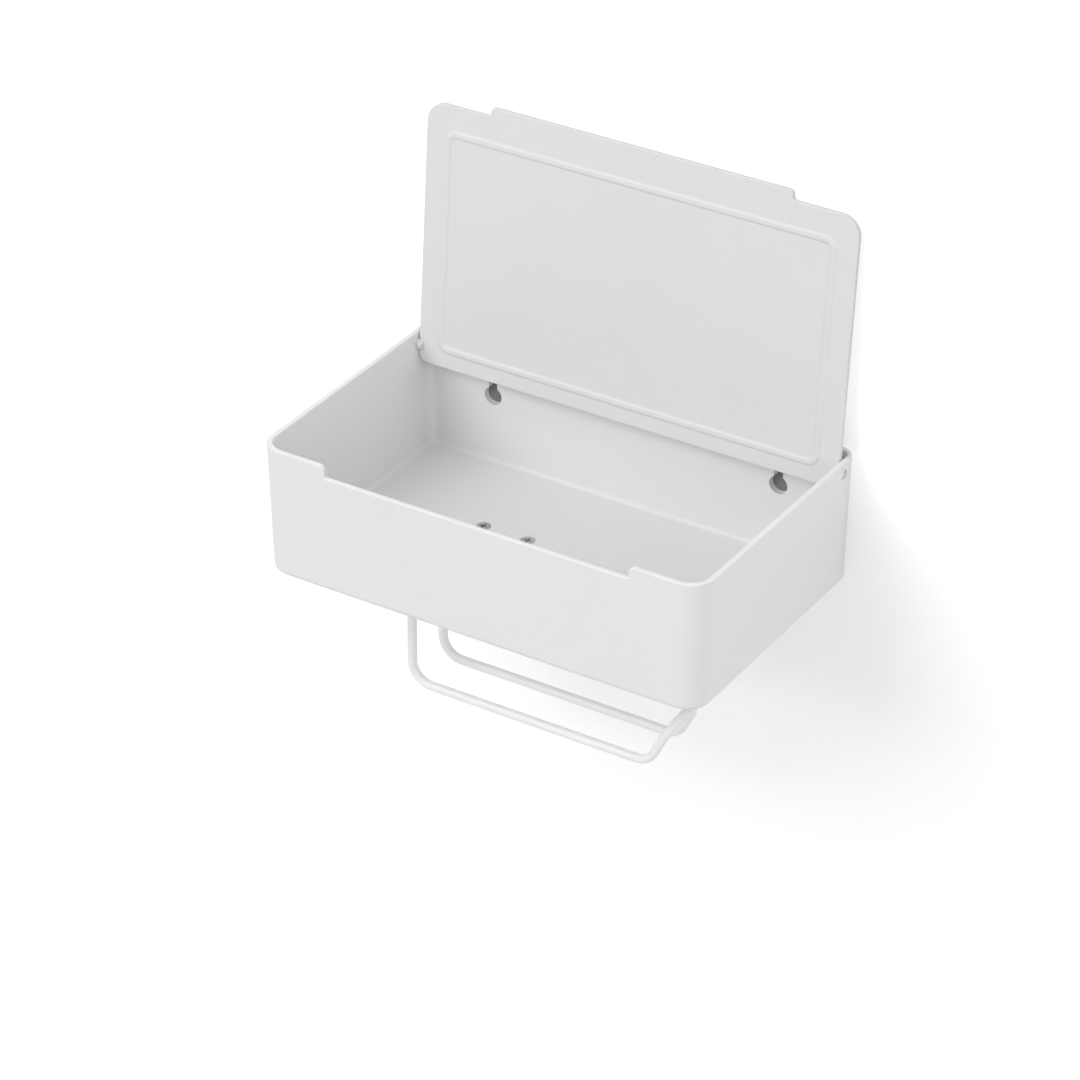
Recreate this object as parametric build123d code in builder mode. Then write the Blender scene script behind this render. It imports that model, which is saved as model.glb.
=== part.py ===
"""Holder with a lidded tray and a bent wire arm under it, hung by two keyholes in its back.

Millimetres. The origin is on the back plane, midway between the two keyhole entries.
+X is to the right as seen from the front, +Y points out of the back and +Z is up.
The lid is modelled open, leaning back until its tab is just in front of the back plane.
"""
from build123d import *
from math import asin, atan2, cos, degrees, hypot, radians, sin
import os

# Tray
tray_width = 210.0
tray_depth = 128.0
tray_height = 60.0
side_draft = 1.2  # how far each drafted side leans in from the rim to the underside
wall = 2.4
back_wall = 3.0
floor_thickness = 2.2
front_corner_radius = 11.0
back_corner_radius = 8.0
inner_back_radius = 3.5
base_edge_radius = 3.0
inner_base_radius = 2.0
rim_round = 0.5

# Finger notch in the front wall
notch_width = 144.0
notch_depth = 5.6
notch_shoulder_radius = 2.5
notch_corner_radius = 1.0
cut_margin = 1.0  # how far a cutting shape runs past the wall it cuts

# Keyholes in the back wall
keyhole_spacing = 140.0
keyhole_height = 34.3  # entry centre above the underside of the tray
keyhole_entry_radius = 4.3
keyhole_neck_width = 4.2
keyhole_rise = 8.0  # from the entry's centre to the centre of the neck's round end

# Lid panel
lid_thickness = 2.2
lid_side_gap = 0.5
lid_front_gap = 2.0
lid_back_gap = 0.7
lid_front_radius = 9.0
lid_back_radius = 4.5
lid_edge_round = 0.5
tab_side_gap = 0.8
tab_setback = 0.2
tab_corner_radius = 2.0
tab_root_radius = 1.5

# Bead round the inner face of the lid
bead_width = 3.5
bead_height = 0.6
bead_taper = 55.0  # lean of its sides from upright
bead_crest_round = 1.5
bead_foot_round = 1.5
bead_corner_radius = 6.0
bead_side_inset = 9.1
bead_front_inset = 10.6
bead_back_inset = 6.9

# Hinge
hinge_from_back = 11.7
axle_radius = 2.25
axle_clearance = 0.05
axle_cover = 0.15  # lid material left over the axle on the lid's outer face
axle_run_in = 2.2  # how far each axle runs in over the lid's inner face
axle_run_round = 1.6
axle_recess = 0.7  # axle end below the outer face of the tray
axle_end_round = 0.8
closed_seat_gap = 0.3
open_back_gap = 0.3

# Wire arm
wire_diameter = 4.0
rod_spacing = 24.0
rod_drop = 64.1  # rod centres below the underside of the tray
rods_from_back = 69.7
leg_x = -60.6
tip_corner_x = 56.1
tip_angle = 63.6
tip_length = 11.75  # from the tip's corner to the start of its round end
rod_bend_radius = 9.5
leg_bend_radius = 8.0
tail_gap = 0.05

# Clamp that holds the two tails of the arm under the tray
clamp_length = 36.0
clamp_thickness = 8.0
clamp_margin = 5.5  # from the screw rows to the clamp's long edges
clamp_corner_radius = 4.0
clamp_edge_round = 1.0
clamp_bend_gap = 1.5  # from the bend of the legs to the clamp
groove_clearance = 0.1
groove_end_gap = 0.5
groove_end_wall = 9.0  # solid end of the clamp past the grooves

# Clamp screws
screw_pitch = 22.0
screw_row_offset = 6.5  # screw rows outside the tails
screw_radius = 1.7
screw_head_radius = 3.2
screw_head_drop = 0.1
screw_end_cover = 1.6  # clamp material left under each screw
screw_point_length = 1.5
screw_point_radius = 0.4
screw_clearance = 0.05
screw_hole_extra = 0.4
recess_length = 3.4
recess_width = 0.9
recess_depth = 1.0

# Levels and outlines worked out from the sizes above
underside = -keyhole_height
rim = underside + tray_height
floor_top = underside + floor_thickness
front = -tray_depth
notch_floor = rim - notch_depth
notch_half = notch_width / 2
draft_angle = degrees(atan2(side_draft, tray_height))

hinge_y = -hinge_from_back
inner_face = axle_radius + axle_cover - lid_thickness  # lid's inner face above the hinge axis
outer_face = inner_face + lid_thickness
hinge_z = notch_floor + closed_seat_gap - inner_face
lid_half = tray_width / 2 - wall - lid_side_gap
lid_front = tray_depth - hinge_from_back - wall - lid_front_gap
lid_back = hinge_from_back - back_wall - lid_back_gap
tab_front = tray_depth - hinge_from_back - tab_setback
tab_half = notch_half - tab_side_gap
lid_lean = degrees(
    asin((hinge_from_back - open_back_gap) / hypot(outer_face, tab_front)) - atan2(outer_face, tab_front)
)

rods_y = -rods_from_back
rod_z = underside - rod_drop
tail_z = underside - tail_gap - wire_diameter / 2
clamp_left = leg_x + leg_bend_radius + clamp_bend_gap
clamp_x = clamp_left + clamp_length / 2
clamp_width = rod_spacing + 2 * (screw_row_offset + clamp_margin)
groove_end = clamp_left + clamp_length - groove_end_wall
screw_rows = rod_spacing + 2 * screw_row_offset
screw_bite = clamp_thickness - screw_end_cover
screw_length = floor_thickness - screw_head_drop + screw_bite


def side_half(z):
    """Half the outer width of the tray at a height, with the draft."""
    return tray_width / 2 - side_draft * (rim - z) / tray_height


def drafted_block(half, front_edge, back_edge, bottom, front_radius, back_radius):
    """A block below the rim with an upright back, and the other three sides leaning in."""
    with BuildPart() as block:
        with BuildSketch(Plane.XY.offset(rim)):
            with Locations((0, (front_edge + back_edge) / 2)):
                Rectangle(2 * half, back_edge - front_edge)
        extrude(amount=bottom - rim)
        leaning = block.faces().filter_by(Axis.X) + block.faces().sort_by(Axis.Y)[:1]
        draft(leaning, neutral_plane=Plane.XY.offset(rim), angle=-draft_angle)
        levels = block.faces().filter_by(Axis.Z)
        corners = (block.edges() - levels[0].edges() - levels[1].edges()).sort_by(Axis.Y)
        fillet(corners[:2], radius=front_radius)
        fillet(corners[2:], radius=back_radius)
    return block.part


# Tray: drafted walls, open at the top, with a thicker and upright back wall
outside = drafted_block(tray_width / 2, front, 0, underside, front_corner_radius, back_corner_radius)
inside = drafted_block(
    tray_width / 2 - wall,
    front + wall,
    -back_wall,
    floor_top,
    front_corner_radius - wall,
    inner_back_radius,
)
with BuildPart() as tray:
    add(outside)
    add(inside, mode=Mode.SUBTRACT)

    # rounded edges under the tray and round its floor
    fillet(tray.faces().filter_by(Axis.Z).sort_by(Axis.Z)[0].edges(), radius=base_edge_radius)
    fillet(tray.faces().filter_by(Axis.Z).sort_by(Axis.Z)[1].edges(), radius=inner_base_radius)

    # finger notch with round shoulders at the rim and small corners at its floor
    with BuildSketch(Plane.XZ.offset(tray_depth - wall - cut_margin)):
        with Locations((0, notch_floor)):
            Rectangle(notch_width, notch_depth + cut_margin, align=(Align.CENTER, Align.MIN))
    extrude(amount=wall + 2 * cut_margin, mode=Mode.SUBTRACT)
    across_wall = tray.edges().filter_by(Axis.Y).filter_by(lambda edge: edge.length < 2 * wall)
    fillet(across_wall.group_by(Axis.Z)[0], radius=notch_corner_radius)
    fillet(across_wall.group_by(Axis.Z)[-1], radius=notch_shoulder_radius)

    # rounded rim, down through the notch
    rim_edges = tray.edges().filter_by_position(Axis.Z, notch_floor - cut_margin, rim + cut_margin)
    across_wall = rim_edges.filter_by(Axis.Y).filter_by(lambda edge: edge.length < 2 * wall)
    fillet(rim_edges - across_wall, radius=rim_round)

    # keyholes: a round entry with a narrow neck going up
    with BuildSketch(Plane.XZ.offset(-cut_margin)):
        with GridLocations(keyhole_spacing, 1, 2, 1):
            Circle(keyhole_entry_radius)
            Rectangle(keyhole_neck_width, keyhole_rise, align=(Align.CENTER, Align.MIN))
        with Locations((0, keyhole_rise)):
            with GridLocations(keyhole_spacing, 1, 2, 1):
                Circle(keyhole_neck_width / 2)
    extrude(amount=back_wall + 2 * cut_margin, mode=Mode.SUBTRACT)

    # hinge bores through both side walls
    with Locations((0, hinge_y, hinge_z)):
        Cylinder(axle_radius + axle_clearance, tray_width, rotation=(0, 90, 0), mode=Mode.SUBTRACT)

    # countersunk holes for the clamp's screws
    with Locations((clamp_x, rods_y, floor_top)):
        with GridLocations(screw_pitch, screw_rows, 2, 2):
            CounterSinkHole(
                screw_radius + screw_clearance,
                screw_head_radius + screw_head_drop + screw_clearance,
                depth=floor_thickness,
                counter_sink_angle=90,
            )

tray.part.label = "tray"

# Lid: a flat panel with a tab, drawn as it lies closed about the hinge axis, then tipped open
lid_plane = Plane(
    origin=(0, hinge_y, hinge_z),
    x_dir=(1, 0, 0),
    z_dir=(0, cos(radians(lid_lean)), -sin(radians(lid_lean))),
)
lid_up = Axis(lid_plane.origin, lid_plane.z_dir)

with BuildPart() as lid:
    with BuildSketch(lid_plane.offset(inner_face)):
        with Locations((0, (lid_back - lid_front) / 2)):
            Rectangle(2 * lid_half, lid_front + lid_back)
        fillet(vertices().group_by(Axis.Y)[0], radius=lid_front_radius)
        fillet(vertices().group_by(Axis.Y)[-1], radius=lid_back_radius)
        with Locations((0, -lid_front)):
            Rectangle(2 * tab_half, 2 * (tab_front - lid_front))
        fillet(vertices().group_by(Axis.Y)[1].sort_by(Axis.X)[1:3], radius=tab_root_radius)
        fillet(vertices().group_by(Axis.Y)[0], radius=tab_corner_radius)
    extrude(amount=lid_thickness)
    fillet(lid.faces().filter_by(lid_up).edges(), radius=lid_edge_round)

    # bead round the inner face, with leaning sides, a round crest and a hollow foot
    bead_half = lid_half - bead_side_inset
    bead_front = lid_front - bead_front_inset
    bead_back = bead_back_inset - lid_back
    with BuildSketch(lid_plane.offset(inner_face)):
        with Locations((0, -(bead_front + bead_back) / 2)):
            RectangleRounded(2 * bead_half, bead_front - bead_back, bead_corner_radius)
            RectangleRounded(
                2 * (bead_half - bead_width),
                bead_front - bead_back - 2 * bead_width,
                bead_corner_radius - bead_width,
                mode=Mode.SUBTRACT,
            )
    extrude(amount=-bead_height, taper=bead_taper)
    bead_levels = lid.edges(Select.LAST).group_by(lid_up)
    fillet(bead_levels[-1], radius=bead_foot_round)
    fillet(lid.faces().filter_by(lid_up).sort_by(lid_up)[0].edges(), radius=bead_crest_round)

    # stub axles that turn in the side walls
    axle_end = side_half(hinge_z) - axle_recess
    axle_start = lid_half - axle_run_in
    with BuildSketch(lid_plane):
        with Locations(((axle_start + axle_end) / 2, axle_radius / 2)):
            Rectangle(axle_end - axle_start, axle_radius)
        fillet(vertices().group_by(Axis.Y)[-1].sort_by(Axis.X)[-1], radius=axle_end_round)
        fillet(vertices().sort_by(Axis.X)[:2].sort_by(Axis.Y)[-1], radius=axle_run_round)
        mirror(about=Plane.YZ)
    revolve(axis=Axis(lid_plane.origin, lid_plane.x_dir))

lid.part.label = "lid"

# Wire arm: tails under the tray, legs down, two level rods and a raised round tip
near_rod = rods_y - rod_spacing / 2
tip_direction = Vector(cos(radians(tip_angle)), 0, sin(radians(tip_angle)))
tip_corner = Vector(tip_corner_x, near_rod, rod_z)

with BuildPart() as roll_arm:
    with BuildLine() as wire_path:
        near_side = FilletPolyline(
            (groove_end - groove_end_gap, near_rod, tail_z),
            (leg_x, near_rod, tail_z),
            (leg_x, near_rod, rod_z),
            tip_corner,
            tip_corner + tip_direction * tip_length,
            radius=(leg_bend_radius, rod_bend_radius, rod_bend_radius),
        )
        tip_start = near_side @ 1
        tip_top = tip_start + tip_direction * rod_spacing / 2 + Vector(0, rod_spacing / 2, 0)
        ThreePointArc(tip_start, tip_top, tip_start + Vector(0, rod_spacing, 0))
        mirror(near_side, about=Plane.XZ.offset(rods_from_back))
    with BuildSketch(Plane(origin=near_side @ 0, z_dir=near_side % 0)):
        Circle(wire_diameter / 2)
    sweep(path=wire_path.wires()[0])

roll_arm.part.label = "roll_arm"

# Clamp: a block under the tray with an open groove for each tail
with BuildPart() as arm_clamp:
    with BuildSketch(Plane.XY.offset(underside)):
        with Locations((clamp_x, rods_y)):
            RectangleRounded(clamp_length, clamp_width, clamp_corner_radius)
    extrude(amount=-clamp_thickness)
    fillet(arm_clamp.faces().sort_by(Axis.Z)[0].edges(), radius=clamp_edge_round)
    groove_radius = wire_diameter / 2 + groove_clearance
    with BuildSketch(Plane.YZ.offset(groove_end)):
        with Locations((rods_y, tail_z)):
            with GridLocations(rod_spacing, 1, 2, 1):
                Circle(groove_radius)
                Rectangle(2 * groove_radius, wire_diameter, align=(Align.CENTER, Align.MIN))
    extrude(amount=clamp_left - groove_end - cut_margin, mode=Mode.SUBTRACT)
    with Locations((clamp_x, rods_y, underside)):
        with GridLocations(screw_pitch, screw_rows, 2, 2):
            Hole(screw_radius + screw_clearance, depth=screw_bite + screw_hole_extra)

arm_clamp.part.label = "arm_clamp"

# Clamp screws: countersunk, with a cross recess, set from inside the tray
head_height = screw_head_radius - screw_radius
with BuildPart() as screw:
    with BuildSketch(Plane.XZ):
        Polygon(
            (0, 0),
            (screw_head_radius, 0),
            (screw_radius, -head_height),
            (screw_radius, screw_point_length - screw_length),
            (screw_point_radius, -screw_length),
            (0, -screw_length),
            align=None,
        )
    revolve(axis=Axis.Z)
    with BuildSketch():
        Rectangle(recess_length, recess_width)
        Rectangle(recess_width, recess_length)
    extrude(amount=-recess_depth, mode=Mode.SUBTRACT)

with BuildPart() as clamp_screws:
    with Locations((clamp_x, rods_y, floor_top - screw_head_drop)):
        with GridLocations(screw_pitch, screw_rows, 2, 2):
            add(screw.part)

clamp_screws.part.label = "clamp_screws"

# Write each piece to its own file
os.makedirs("parts", exist_ok=True)
export_step(tray.part, "parts/tray.step")
export_step(lid.part, "parts/lid.step")
export_step(roll_arm.part, "parts/roll_arm.step")
export_step(arm_clamp.part, "parts/arm_clamp.step")
export_step(clamp_screws.part, "parts/clamp_screws.step")
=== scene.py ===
from math import radians

import bpy
from mathutils import Matrix, Vector

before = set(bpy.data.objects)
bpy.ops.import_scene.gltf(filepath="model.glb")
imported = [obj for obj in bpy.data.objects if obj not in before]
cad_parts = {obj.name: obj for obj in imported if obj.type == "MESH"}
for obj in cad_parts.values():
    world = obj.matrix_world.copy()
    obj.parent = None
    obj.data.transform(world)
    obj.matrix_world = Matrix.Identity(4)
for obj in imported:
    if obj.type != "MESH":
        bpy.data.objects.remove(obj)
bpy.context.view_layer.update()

MM = 0.001

# Photograph and camera
IMAGE_SIZE = 1080
SENSOR_WIDTH = 36.0
FOCAL_PIXELS = 4264.0
OPTICAL_AXIS_PIXEL = (539.0, 562.9)
CAMERA_PLACE = Vector((0.7876, -1.3480, 0.8976))
CAMERA_TURN = radians(31.801)
CAMERA_PITCH = radians(31.608)
CAMERA_ROLL = radians(0.305)
NEAREST_SEEN = 0.05
FARTHEST_SEEN = 50.0

# White plastic
TRAY_TONE = 0.80
# The lid's tone is lower than the tray's as painted shade on the same white plastic
LID_TONE = 0.74
CLAMP_TONE = 0.80
PLASTIC_SHADES = (0.985, 1.01)  # darkest and lightest share of the tone
PLASTIC_ROUGHNESS = (0.46, 0.60)
PLASTIC_SPECULAR = 0.4
CLOUD_SCALE = 14.0
RIPPLE_SCALE = 120.0
RIPPLE_STRENGTH = 0.25
RIPPLE_DEPTH = 0.05 * MM
GRAIN_SCALE = 2600.0
GRAIN_STRENGTH = 0.35
GRAIN_DEPTH = 0.02 * MM

# Powder coat
COAT_TONE = 0.87
COAT_SHADES = (0.97, 1.0)
COAT_ROUGHNESS = (0.30, 0.40)
COAT_CLOUD_SCALE = 60.0
PEEL_SCALE = 900.0
PEEL_STRENGTH = 0.3
PEEL_DEPTH = 0.05 * MM

# Zinc-plated steel
ZINC_COLOUR = (0.62, 0.62, 0.63, 1)
ZINC_ROUGHNESS = (0.28, 0.45)
MOTTLE_SCALE = 900.0
MOTTLE_STRENGTH = 0.2
MOTTLE_DEPTH = 0.02 * MM

# Wall and floor
WALL_GAP = 0.4 * MM  # from the back of the part to the wall
WALL_SIZE = 6.0
FLOOR_DROP = 0.65
WALL_TONE = 0.90
# The wall's glow rises with height. This is painted light that whitens the wall above the rim,
# over the lid's shadow there
WALL_GLOW = 0.20  # at GLOW_START and lower
WALL_GLOW_ABOVE = 0.42  # at GLOW_END and higher
GLOW_START = -20.0 * MM
GLOW_END = 50.0 * MM
FLOOR_TONE = 0.60
FLOOR_GLOW = 0.45
NEAR_LIGHT = 12.0 * MM  # shorter rays pass the wall and light the back of the part

# Painted shade: dark patches on the wall behind the keyholes, where the wall lies in the part's
# shade
KEYHOLE_SHADE_GAP = 0.2 * MM
KEYHOLE_SHADE_RADIUS = 9.0 * MM
KEYHOLE_SHADE_RISE = 4.0 * MM  # height of the middle of each patch
KEYHOLE_SHADE_TONE = 0.22
KEYHOLE_SHADE_NEAR_LIGHT = 1.5 * MM
KEYHOLE_X = 70.0 * MM

# Lights
WHITE_LIGHT = 1.0  # strength of the world that the camera sees as white
HORIZON_LIGHT = 0.51
ZENITH_LIGHT = 0.84
LIGHT_TARGET = (0, -0.06, 0)
KEY_PLACE = (-1.12, -2.65, 1.95)
KEY_SIZE = 1.8
KEY_POWER = 47.0
FILL_PLACE = (2.60, -1.40, 0.80)
FILL_SIZE = 1.6
FILL_POWER = 13.5


def make_camera():
    """The camera at the photograph's angle, with the optical axis a little off the middle."""
    data = bpy.data.cameras.new("camera")
    data.sensor_width = SENSOR_WIDTH
    data.lens = FOCAL_PIXELS * SENSOR_WIDTH / IMAGE_SIZE
    data.shift_x = (IMAGE_SIZE / 2 - OPTICAL_AXIS_PIXEL[0]) / IMAGE_SIZE
    data.shift_y = (OPTICAL_AXIS_PIXEL[1] - IMAGE_SIZE / 2) / IMAGE_SIZE
    data.clip_start = NEAREST_SEEN
    data.clip_end = FARTHEST_SEEN
    camera = bpy.data.objects.new("camera", data)
    bpy.context.scene.collection.objects.link(camera)
    turn = Matrix.Rotation(CAMERA_TURN, 4, "Z")
    pitch = Matrix.Rotation(radians(90) - CAMERA_PITCH, 4, "X")
    roll = Matrix.Rotation(CAMERA_ROLL, 4, "Z")
    camera.matrix_world = Matrix.Translation(CAMERA_PLACE) @ turn @ pitch @ roll
    bpy.context.scene.camera = camera


def new_material(name):
    """An empty node material, with its nodes, its links and its output node."""
    material = bpy.data.materials.new(name)
    material.use_nodes = True
    tree = material.node_tree
    tree.nodes.clear()
    output = tree.nodes.new("ShaderNodeOutputMaterial")
    return material, tree.nodes, tree.links, output


def noise(nodes, links, place, scale, detail):
    """A noise texture in object coordinates, in metres."""
    texture = nodes.new("ShaderNodeTexNoise")
    texture.inputs["Scale"].default_value = scale
    texture.inputs["Detail"].default_value = detail
    texture.inputs["Roughness"].default_value = 0.5
    links.new(place, texture.inputs["Vector"])
    return texture.outputs["Fac"]


def remap(nodes, links, value, low, high):
    """A noise value, stretched about its middle to run from low to high."""
    ramp = nodes.new("ShaderNodeMapRange")
    ramp.inputs["From Min"].default_value = 0.2
    ramp.inputs["From Max"].default_value = 0.8
    ramp.inputs["To Min"].default_value = low
    ramp.inputs["To Max"].default_value = high
    links.new(value, ramp.inputs["Value"])
    return ramp.outputs["Result"]


def bump(nodes, links, height, strength, distance, below=None):
    """A bump from a height value, on top of another bump if one is given."""
    node = nodes.new("ShaderNodeBump")
    node.inputs["Strength"].default_value = strength
    node.inputs["Distance"].default_value = distance
    links.new(height, node.inputs["Height"])
    if below is not None:
        links.new(below, node.inputs["Normal"])
    return node.outputs["Normal"]


def grey(tone):
    """A neutral colour."""
    return (tone, tone, tone, 1)


def shaded_tone(nodes, links, cloud, tone, shades):
    """A neutral colour that drifts between two shares of its tone with a noise value."""
    mix = nodes.new("ShaderNodeMix")
    mix.data_type = "RGBA"
    mix.inputs["A"].default_value = grey(tone * shades[0])
    mix.inputs["B"].default_value = grey(tone * shades[1])
    links.new(remap(nodes, links, cloud, 0.0, 1.0), mix.inputs["Factor"])
    return mix.outputs["Result"]


def white_plastic(name, tone):
    """Moulded white plastic with a fine matte grain and a faint unevenness."""
    material, nodes, links, output = new_material(name)
    shader = nodes.new("ShaderNodeBsdfPrincipled")
    place = nodes.new("ShaderNodeTexCoord").outputs["Object"]
    cloud = noise(nodes, links, place, CLOUD_SCALE, 3.0)
    ripple = noise(nodes, links, place, RIPPLE_SCALE, 2.0)
    grain = noise(nodes, links, place, GRAIN_SCALE, 2.0)
    colour = shaded_tone(nodes, links, cloud, tone, PLASTIC_SHADES)
    links.new(colour, shader.inputs["Base Color"])
    links.new(remap(nodes, links, grain, *PLASTIC_ROUGHNESS), shader.inputs["Roughness"])
    shader.inputs["Specular IOR Level"].default_value = PLASTIC_SPECULAR
    low = bump(nodes, links, ripple, RIPPLE_STRENGTH, RIPPLE_DEPTH)
    fine = bump(nodes, links, grain, GRAIN_STRENGTH, GRAIN_DEPTH, low)
    links.new(fine, shader.inputs["Normal"])
    links.new(shader.outputs["BSDF"], output.inputs["Surface"])
    return material


def powder_coat(name, tone):
    """Satin powder coat with its fine orange peel."""
    material, nodes, links, output = new_material(name)
    shader = nodes.new("ShaderNodeBsdfPrincipled")
    place = nodes.new("ShaderNodeTexCoord").outputs["Object"]
    peel = noise(nodes, links, place, PEEL_SCALE, 2.0)
    cloud = noise(nodes, links, place, COAT_CLOUD_SCALE, 2.0)
    colour = shaded_tone(nodes, links, cloud, tone, COAT_SHADES)
    links.new(colour, shader.inputs["Base Color"])
    links.new(remap(nodes, links, cloud, *COAT_ROUGHNESS), shader.inputs["Roughness"])
    links.new(bump(nodes, links, peel, PEEL_STRENGTH, PEEL_DEPTH), shader.inputs["Normal"])
    links.new(shader.outputs["BSDF"], output.inputs["Surface"])
    return material


def zinc_steel(name):
    """Zinc-plated steel with a fine mottle."""
    material, nodes, links, output = new_material(name)
    shader = nodes.new("ShaderNodeBsdfPrincipled")
    place = nodes.new("ShaderNodeTexCoord").outputs["Object"]
    mottle = noise(nodes, links, place, MOTTLE_SCALE, 3.0)
    shader.inputs["Base Color"].default_value = ZINC_COLOUR
    shader.inputs["Metallic"].default_value = 1.0
    links.new(remap(nodes, links, mottle, *ZINC_ROUGHNESS), shader.inputs["Roughness"])
    links.new(bump(nodes, links, mottle, MOTTLE_STRENGTH, MOTTLE_DEPTH), shader.inputs["Normal"])
    links.new(shader.outputs["BSDF"], output.inputs["Surface"])
    return material


def give(node, material):
    """Sets the one material of a CAD node."""
    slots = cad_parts[node].data.materials
    slots.clear()
    slots.append(material)


def combine(nodes, links, operation, first, second):
    """The result of a calculation with two values, each an output of a node or a number."""
    node = nodes.new("ShaderNodeMath")
    node.operation = operation
    for socket, value in zip(node.inputs, (first, second)):
        if isinstance(value, float):
            socket.default_value = value
        else:
            links.new(value, socket)
    return node.outputs["Value"]


def rising_glow(nodes, links, glow, glow_above):
    """A strength that goes from one value to another between two heights."""
    place = nodes.new("ShaderNodeTexCoord").outputs["Object"]
    parts = nodes.new("ShaderNodeSeparateXYZ")
    links.new(place, parts.inputs["Vector"])
    rise = nodes.new("ShaderNodeMapRange")
    rise.interpolation_type = "SMOOTHSTEP"
    rise.inputs["From Min"].default_value = GLOW_START
    rise.inputs["From Max"].default_value = GLOW_END
    rise.inputs["To Min"].default_value = glow
    rise.inputs["To Max"].default_value = glow_above
    links.new(parts.outputs["Z"], rise.inputs["Value"])
    return rise.outputs["Result"]


def backdrop_material(name, tone, glow, glow_above, near_light):
    """A plain surface with a glow that lights nothing, passed from behind and by short rays."""
    material, nodes, links, output = new_material(name)
    path = nodes.new("ShaderNodeLightPath")
    through = combine(
        nodes, links, "MAXIMUM", path.outputs["Is Glossy Ray"], path.outputs["Is Transmission Ray"]
    )
    seen = combine(nodes, links, "MAXIMUM", path.outputs["Is Camera Ray"], through)
    strength = combine(nodes, links, "MULTIPLY", seen, rising_glow(nodes, links, glow, glow_above))
    diffuse = nodes.new("ShaderNodeBsdfDiffuse")
    diffuse.inputs["Color"].default_value = grey(tone)
    emission = nodes.new("ShaderNodeEmission")
    links.new(strength, emission.inputs["Strength"])
    both = nodes.new("ShaderNodeAddShader")
    links.new(diffuse.outputs["BSDF"], both.inputs[0])
    links.new(emission.outputs["Emission"], both.inputs[1])
    near = combine(nodes, links, "LESS_THAN", path.outputs["Ray Length"], near_light)
    geometry = nodes.new("ShaderNodeNewGeometry")
    passing = combine(nodes, links, "MAXIMUM", geometry.outputs["Backfacing"], near)
    clear = nodes.new("ShaderNodeBsdfTransparent")
    sides = nodes.new("ShaderNodeMixShader")
    links.new(passing, sides.inputs["Fac"])
    links.new(both.outputs["Shader"], sides.inputs[1])
    links.new(clear.outputs["BSDF"], sides.inputs[2])
    links.new(sides.outputs["Shader"], output.inputs["Surface"])
    return material


def plane(name, corners, material):
    """One flat staged face through four corners."""
    mesh = bpy.data.meshes.new(name)
    mesh.from_pydata(corners, [], [(0, 1, 2, 3)])
    mesh.materials.append(material)
    obj = bpy.data.objects.new(name, mesh)
    bpy.context.scene.collection.objects.link(obj)


def upright_plane(name, left, right, y, low, high, material):
    """A staged face that stands upright and faces the front."""
    corners = [(left, y, low), (right, y, low), (right, y, high), (left, y, high)]
    plane(name, corners, material)


def level_plane(name, left, right, front, back, z, material):
    """A staged face that lies level and faces up."""
    corners = [(left, front, z), (right, front, z), (right, back, z), (left, back, z)]
    plane(name, corners, material)


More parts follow.
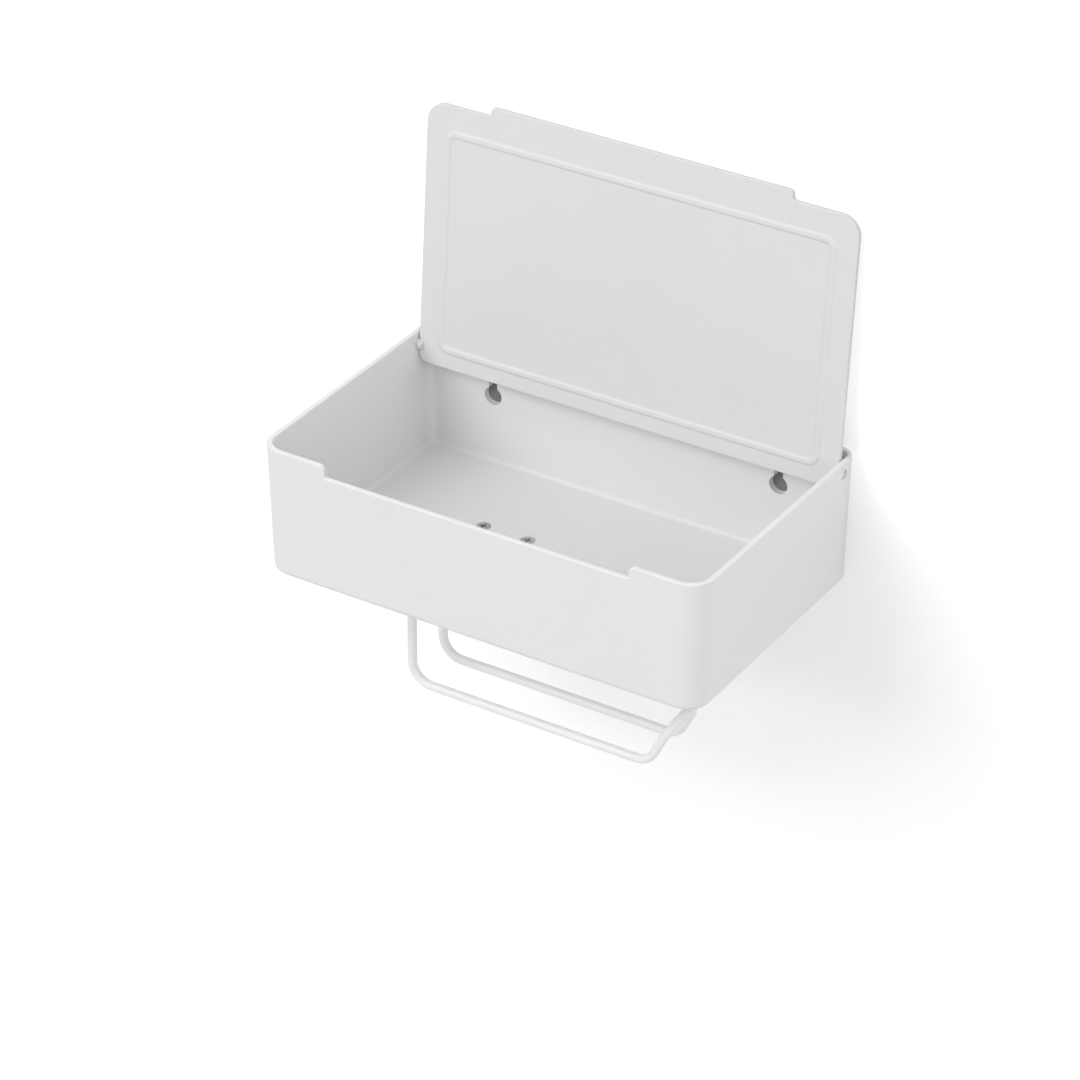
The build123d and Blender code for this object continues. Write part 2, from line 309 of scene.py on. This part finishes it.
def make_wall_and_floor():
    """A pale wall behind the back face, with a glow that is stronger above the rim as painted
    light, a dark patch of painted shade behind each keyhole and a pale floor.
    """
    # Painted light: the wall's glow is stronger above the rim than below it
    pale_wall = backdrop_material("pale_wall", WALL_TONE, WALL_GLOW, WALL_GLOW_ABOVE, NEAR_LIGHT)
    pale_floor = backdrop_material("pale_floor", FLOOR_TONE, FLOOR_GLOW, FLOOR_GLOW, NEAR_LIGHT)
    half = WALL_SIZE / 2
    low = -FLOOR_DROP
    upright_plane("wall", -half, half, WALL_GAP, low, low + WALL_SIZE, pale_wall)
    level_plane("floor", -half, half, -WALL_SIZE, WALL_GAP, low, pale_floor)
    # Painted shade: dark patches on the wall behind the keyholes
    shade_patch_material = backdrop_material("keyhole_painted_shade", KEYHOLE_SHADE_TONE, 0.0, 0.0, KEYHOLE_SHADE_NEAR_LIGHT)
    patch_low = KEYHOLE_SHADE_RISE - KEYHOLE_SHADE_RADIUS
    patch_high = KEYHOLE_SHADE_RISE + KEYHOLE_SHADE_RADIUS
    for side, x in (("left", -KEYHOLE_X), ("right", KEYHOLE_X)):
        name = "keyhole_painted_shade_" + side
        upright_plane(name, x - KEYHOLE_SHADE_RADIUS, x + KEYHOLE_SHADE_RADIUS, KEYHOLE_SHADE_GAP, patch_low, patch_high, shade_patch_material)


def make_world():
    """A white world, which the camera sees as white and which lights the part more from above."""
    world = bpy.data.worlds.new("world")
    world.use_nodes = True
    nodes = world.node_tree.nodes
    links = world.node_tree.links
    background = nodes["Background"]
    background.inputs["Color"].default_value = grey(1)
    direction = nodes.new("ShaderNodeTexCoord")
    parts = nodes.new("ShaderNodeSeparateXYZ")
    links.new(direction.outputs["Generated"], parts.inputs["Vector"])
    height = nodes.new("ShaderNodeMapRange")
    height.inputs["To Min"].default_value = HORIZON_LIGHT
    height.inputs["To Max"].default_value = ZENITH_LIGHT
    links.new(parts.outputs["Z"], height.inputs["Value"])
    path = nodes.new("ShaderNodeLightPath")
    strength = nodes.new("ShaderNodeMix")
    strength.inputs["B"].default_value = WHITE_LIGHT
    links.new(height.outputs["Result"], strength.inputs["A"])
    links.new(path.outputs["Is Camera Ray"], strength.inputs["Factor"])
    links.new(strength.outputs["Result"], background.inputs["Strength"])
    bpy.context.scene.world = world


def area_light(name, place, size, power):
    """A square soft lamp that faces the part."""
    data = bpy.data.lights.new(name, "AREA")
    data.size = size
    data.energy = power
    lamp = bpy.data.objects.new(name, data)
    bpy.context.scene.collection.objects.link(lamp)
    lamp.location = place
    lamp.rotation_mode = "QUATERNION"
    lamp.rotation_quaternion = (Vector(LIGHT_TARGET) - Vector(place)).to_track_quat("-Z", "Y")


give("tray", white_plastic("tray_plastic", TRAY_TONE))
# The lid gets the lower tone: painted shade on the same white plastic as the tray
give("lid", white_plastic("lid_plastic", LID_TONE))
give("arm_clamp", white_plastic("clamp_plastic", CLAMP_TONE))
give("roll_arm", powder_coat("arm_coat", COAT_TONE))
give("clamp_screws", zinc_steel("screw_steel"))

make_camera()
make_wall_and_floor()
make_world()
area_light("key", KEY_PLACE, KEY_SIZE, KEY_POWER)
area_light("fill", FILL_PLACE, FILL_SIZE, FILL_POWER)

view = bpy.context.scene.view_settings
view.view_transform = "Standard"
